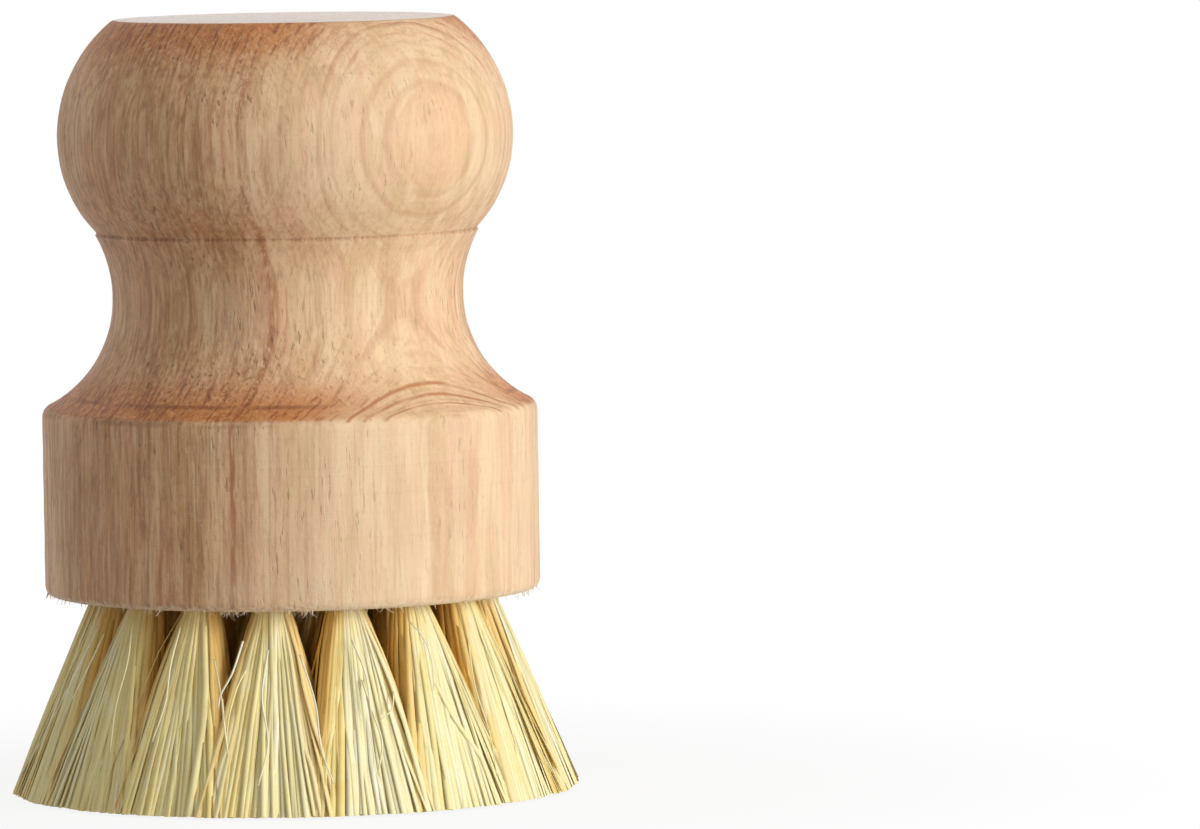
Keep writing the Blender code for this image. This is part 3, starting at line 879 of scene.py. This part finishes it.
def fibreMesh(tuft, share, ringCount, plug, seed):
    draw = np.random.default_rng(seed)
    paths, lock, (s, t), skin = fibrePaths(tuft, share, ringCount, draw)
    isOuter = tuft.ring == "outer"
    girth = 1 + ramp(s * isOuter, *fibres["deepFade"]) * (fibres["deepGirth"] - 1)
    # fibres at a tuft's flanks, and all fibres of the middle and inner rings, count as hidden and get the
    # painted golden shade
    flank = ramp(np.abs(t), fibres["flankFrom"], 1)
    middle, rim = fibres["outsideFrom"]
    outside = np.clip(middle + s * rim, 0, 1) * (1 - fibres["flankDepth"] * flank) * isOuter
    points, faces, around, crest = threads(paths, fibres, skin, draw, girth)
    cutLevel(paths, points)
    count, knots, sides = points.shape[:3]
    plugPoints = [tuft.placing @ (v.co / mm) for v in plug.vertices]
    plugFaces = [[points[..., 0].size + i for i in p.vertices] for p in plug.polygons]
    mesh = meshOf("tuft", np.concatenate([points.reshape(-1, 3), plugPoints]), faces + plugFaces)
    mesh.shade_smooth()
    sharpEnds(mesh, count, knots, sides)
    softNormals(mesh, around, skin, knots)

    lockTone = draw.random(fibres["locks"])[lock]
    own, shared, whole = fibres["toneShares"]
    tone = own * draw.random(count) + shared * lockTone + whole * draw.random()
    size, rest = knots * sides, np.zeros(len(plug.vertices))
    along = np.tile(np.linspace(0, 1, knots)[None, :, None], (count, 1, sides))
    mark(mesh, tone=np.append(np.repeat(tone, size), rest + fibres["plugTone"]),
         outside=np.append(np.repeat(outside, size), rest), along=np.append(along, rest),
         crest=np.append(crest, rest))
    return mesh


def makeTufts(tufts, fibre):
    share = borders(tufts)
    plug = plugMesh(fibre)
    total = 0
    for number, (label, tuft) in enumerate(sorted(tufts.items())):
        ringCount = sum(other.ring == tuft.ring for other in tufts.values())
        mesh = fibreMesh(tuft, share[tuft.ring], ringCount, plug, fibres["seed"] + number)
        piece = addPiece(f"fibres_{label}", mesh, fibre)
        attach(piece, "root")
        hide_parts(f"tuft_{label}")
        total += len(mesh.polygons)
    print("tufts:", len(tufts), "with", total, "faces")


# loose fibres and whiskers

loose = {
    # where single fibres stray in front of the tufts, in pixels of the photograph
    "paths": [
        [(243, 641), (231, 676), (220, 697), (218, 709)], [(214, 659), (219, 684), (222, 701)],
        [(222, 699), (224, 724), (228, 755)], [(247, 668), (236, 690), (229, 716), (226, 748)],
        [(362, 680), (374, 716), (382, 741), (378, 774)], [(394, 692), (390, 712), (380, 720)],
        [(410, 622), (423, 637), (431, 657), (434, 690)], [(352, 640), (366, 676), (371, 712)],
        [(180, 628), (170, 668), (166, 700), (152, 742)], [(98, 628), (72, 680), (46, 732), (19, 778)],
        [(92, 622), (69, 672), (51, 714), (25, 768)], [(104, 634), (84, 676), (62, 720), (47, 770)],
        [(132, 622), (128, 660), (116, 706), (110, 752)],
        [(488, 628), (508, 672), (524, 716), (552, 772)],
        [(468, 640), (476, 690), (490, 734), (497, 776)],
        [(268, 650), (262, 700), (268, 744), (258, 786)],
        [(300, 655), (316, 706), (322, 752), (334, 784)],
    ],
    "width": (0.17, 0.28), "flatness": (0.6, 0.9), "taper": 0.7, "knots": 14,
    "sunk": -0.9,  # the upper end lies in its tuft
    "lift": 0.42,  # the rest lies on it
    "rootReach": 24.4,  # reach of the fan at the underside
    "tone": (0.5, 0.95), "along": 0.6,
    "passes": 8,  # to find where a line of sight meets the fan
    "seed": 5,
}

burr = {
    "count": 260, "length": (0.1, 0.45), "width": (0.05, 0.11), "flatness": (0.6, 1.0), "taper": 0.4,
    "knots": 5, "inset": 0.5, "setBack": (0.4, 1.6),
    "tufts": [(-15, 14), (2, 12), (-33, 6)],  # azimuth and number of the whiskers that stand together
    "tuftSpread": 1.3,  # degrees
    "tuftLength": 1.9,
    "rooted": (0.25, 0.4),  # above the underside, and as added length
    "outwards": (-0.1, 0.7), "sideways": 0.6, "curl": 0.35,
    "seed": 8,
}


def seenAt(pixel, lift):
    # the point of the fan of fibres that the photograph shows at a pixel
    camera = scene.camera
    focal = camera.data.lens / camera.data.sensor_width * photo["width"]
    towards = Vector((pixel[0] - photo["width"] / 2, photo["height"] / 2 - pixel[1], -focal))
    ray = (camera.rotation_euler.to_matrix() @ towards).normalized()
    eye = camera.location / mm
    face, fan = fibres["faceRadius"], loose["rootReach"]
    reach = face
    for _ in range(loose["passes"]):
        half = -eye.xy.dot(ray.xy) / ray.xy.length_squared
        inside = half**2 - (eye.xy.length_squared - (reach + lift) ** 2) / ray.xy.length_squared
        point = eye + ray * (half - sqrt(max(0.0, inside)))
        reach = face + (fan - face) * point.z / undersideZ
    return point


def smoothPath(points, knots):
    # a curve through the points, with its knots evenly apart
    points = np.array(points)
    at = np.concatenate([[0], np.cumsum(np.linalg.norm(np.diff(points, axis=0), axis=1))])
    spans = np.gradient(points, at, axis=0)
    where = np.linspace(0, at[-1], knots)
    index = np.clip(np.searchsorted(at, where, side="right") - 1, 0, len(at) - 2)
    length = (at[index + 1] - at[index])[:, None]
    w = (where - at[index])[:, None] / length
    return ((1 + 2 * w) * (1 - w) ** 2 * points[index] + w * (1 - w) ** 2 * spans[index] * length
            + w**2 * (3 - 2 * w) * points[index + 1] + w**2 * (w - 1) * spans[index + 1] * length)


def addThreads(name, paths, sizes, material, draw):
    points, faces, *_ = threads(paths, sizes, unit(paths.mean(axis=1) * [1, 1, 0]), draw)
    mesh = meshOf(name, points, faces)
    mesh.shade_smooth()
    piece = addPiece(name, mesh, material)
    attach(piece, "root")
    return mesh, points.shape[1] * points.shape[2]


def makeLooseFibres(fibre):
    draw = np.random.default_rng(loose["seed"])
    paths = []
    for first, *rest in loose["paths"]:
        points = [seenAt(first, loose["sunk"]), *[seenAt(pixel, loose["lift"]) for pixel in rest]]
        paths.append(smoothPath(points, loose["knots"]))
    paths = np.array(paths)
    mesh, size = addThreads("looseFibres", paths, loose, fibre, draw)
    count = len(paths) * size
    mark(mesh, tone=np.repeat(draw.uniform(*loose["tone"], len(paths)), size), outside=np.ones(count),
         along=np.full(count, loose["along"]), crest=np.ones(count))
    print("loose fibres:", len(paths))


def makeEdgeBurr(wood):
    # short whiskers that the saw and the lathe left on the lower edge
    draw = np.random.default_rng(burr["seed"])
    count = burr["count"]
    bearing = draw.uniform(0, 2 * pi, count)
    length = draw.uniform(*burr["length"], count)
    for azimuth, number in burr["tufts"]:
        turned = radians(azimuth - 90)
        bearing = np.append(bearing, draw.normal(turned, radians(burr["tuftSpread"]), number))
        length = np.append(length, draw.uniform(*burr["length"], number) * burr["tuftLength"])
    count = len(bearing)
    radius = handle["blockRadius"] - burr["inset"] * draw.uniform(*burr["setBack"], count)
    rise, added = burr["rooted"]
    roots = onCircle(bearing, radius, undersideZ + rise)
    outwards, sideways = onCircle(bearing, 1, 0), onCircle(bearing + pi / 2, 1, 0)
    way = unit(outwards * draw.uniform(*burr["outwards"], (count, 1))
               + sideways * draw.normal(0, burr["sideways"], (count, 1)) - np.array(up))
    curl = sideways * draw.normal(0, burr["curl"], (count, 1))
    w = np.linspace(0, 1, burr["knots"])[None, :, None]
    paths = roots[:, None] + (way[:, None] * w + curl[:, None] * w**2) * (length + added)[:, None, None]
    addThreads("edgeBurr", paths, burr, wood, draw)
    print("burr:", count, "whiskers")


burrLook = {
    "base": (226, 196, 156), "other": (250, 236, 212), "fade": (0.35, 0.65),
    "cloud": 900, "grain": (900, 2),  # per metre, as in the next finishes
    "rough": (0.6, 0.2), "bump": (0.2, 0.00002), "surface": {},
}


def plainFinish(name, look):
    # two tints in clouds, under a grain
    paint = Finish(name)
    cloud, grain = paint.noise(paint.onPiece(), look["cloud"]), paint.noise(paint.onPiece(), *look["grain"])
    colour = paint.mix(paint.step(cloud, *look["fade"]), linear(*look["base"]), linear(*look["other"]))
    return paint.close(look, colour, grain)


fibreFades = {
    # where each mask starts and is full, and how much it counts
    "inside": (0.2, 0.6, 1), "edge": (0.3, 0, 0.34), "root": (0.4, 0.1, 0.3), "speck": (0.5, 0.85, 0.14),
    "hidden": (0.9, 0.25, 0.85), "tip": (0.55, 1, 0.4),  # the painted shade of hidden fibres fades out at their tips
}

fibreLook = {
    "tones": [(0.1, (248, 218, 134)), (0.3, (253, 234, 160)), (0.5, (255, 243, 182)),
              (0.7, (255, 248, 204)), (0.9, (255, 252, 226))],
    # painted shade: the warm golden colour of fibres hidden behind the first rows and between tufts
    "inside": (252, 214, 124), "insideDark": (234, 182, 92),
    "edge": (248, 214, 134),  # painted shade on each strand's sides and back, where fibres touch
    # painted shade near the roots, under the block; the specks take this colour too
    "root": (206, 164, 96),
    "cloud": 420, "speck": 3600, "clouding": 0.4,
    "rough": (0.46, 0.22), "bump": (0.25, 0.00003),
    "surface": {"IOR": 1.48, "Specular IOR Level": 0.25},
}


def fibreFinish():
    look = fibreLook
    paint = Finish("plantFibre")
    tone, outside, along, crest = [paint.make("Attribute", {"attribute_name": name}, {}, "Fac")
                                   for name in ("tone", "outside", "along", "crest")]
    cloud, speck = [paint.noise(paint.onPiece(), look[name]) for name in ("cloud", "speck")]
    stops = [(position, linear(*colour)) for position, colour in look["tones"]]
    colour = paint.make("ValToRGB", {"stops": stops}, {"Fac": tone + (cloud - 0.5) * look["clouding"]})
    pale, dark, edge, root = [linear(*look[name]) for name in ("inside", "insideDark", "edge", "root")]
    sources = {"inside": tone, "edge": crest, "root": along, "speck": speck, "hidden": outside, "tip": along}
    fade = {name: paint.step(sources[name], *ends) * share for name, (*ends, share) in fibreFades.items()}
    # painted shade on the sides and backs of the strands
    colour = paint.mix(fade["edge"], colour, edge)
    # painted shade: hidden fibres turn golden, as they look in the warm shade between fibres
    inside = paint.mix(fade["inside"], dark, pale)
    colour = paint.mix(fade["hidden"] * (1 - fade["tip"]), colour, inside)
    # painted shade: darker near the roots, under the block
    colour = paint.mix(fade["root"], colour, root)
    colour = paint.mix(fade["speck"], colour, root)
    return paint.close(look, colour, speck)


# anchors

anchorLook = {
    "base": (168, 166, 160), "other": (120, 116, 108), "fade": (0.45, 0.7),
    "cloud": 700, "grain": (9000, 3),
    "rough": (0.28, 0.25), "bump": (0.3, 0.00002), "surface": {"Metallic": 1.0},
}


def finishAnchors():
    steel = plainFinish("anchorWire", anchorLook)
    for anchor in anchors.values():
        anchor.data.materials.clear()
        anchor.data.materials.append(steel)
    print("anchors: finished")


scene.view_settings.view_transform = "Standard"
makeCamera()
makeWorld()
makeFloor()
for lampName, lampSizes in lamps.items():
    makeLamp(lampName, *lampSizes)
print("studio: ready")
allTufts = readTufts()
makeHandle(allTufts, woodFinish())
plantFibre = fibreFinish()
makeTufts(allTufts, plantFibre)
makeLooseFibres(plantFibre)
makeEdgeBurr(plainFinish("woodBurr", burrLook))
finishAnchors()
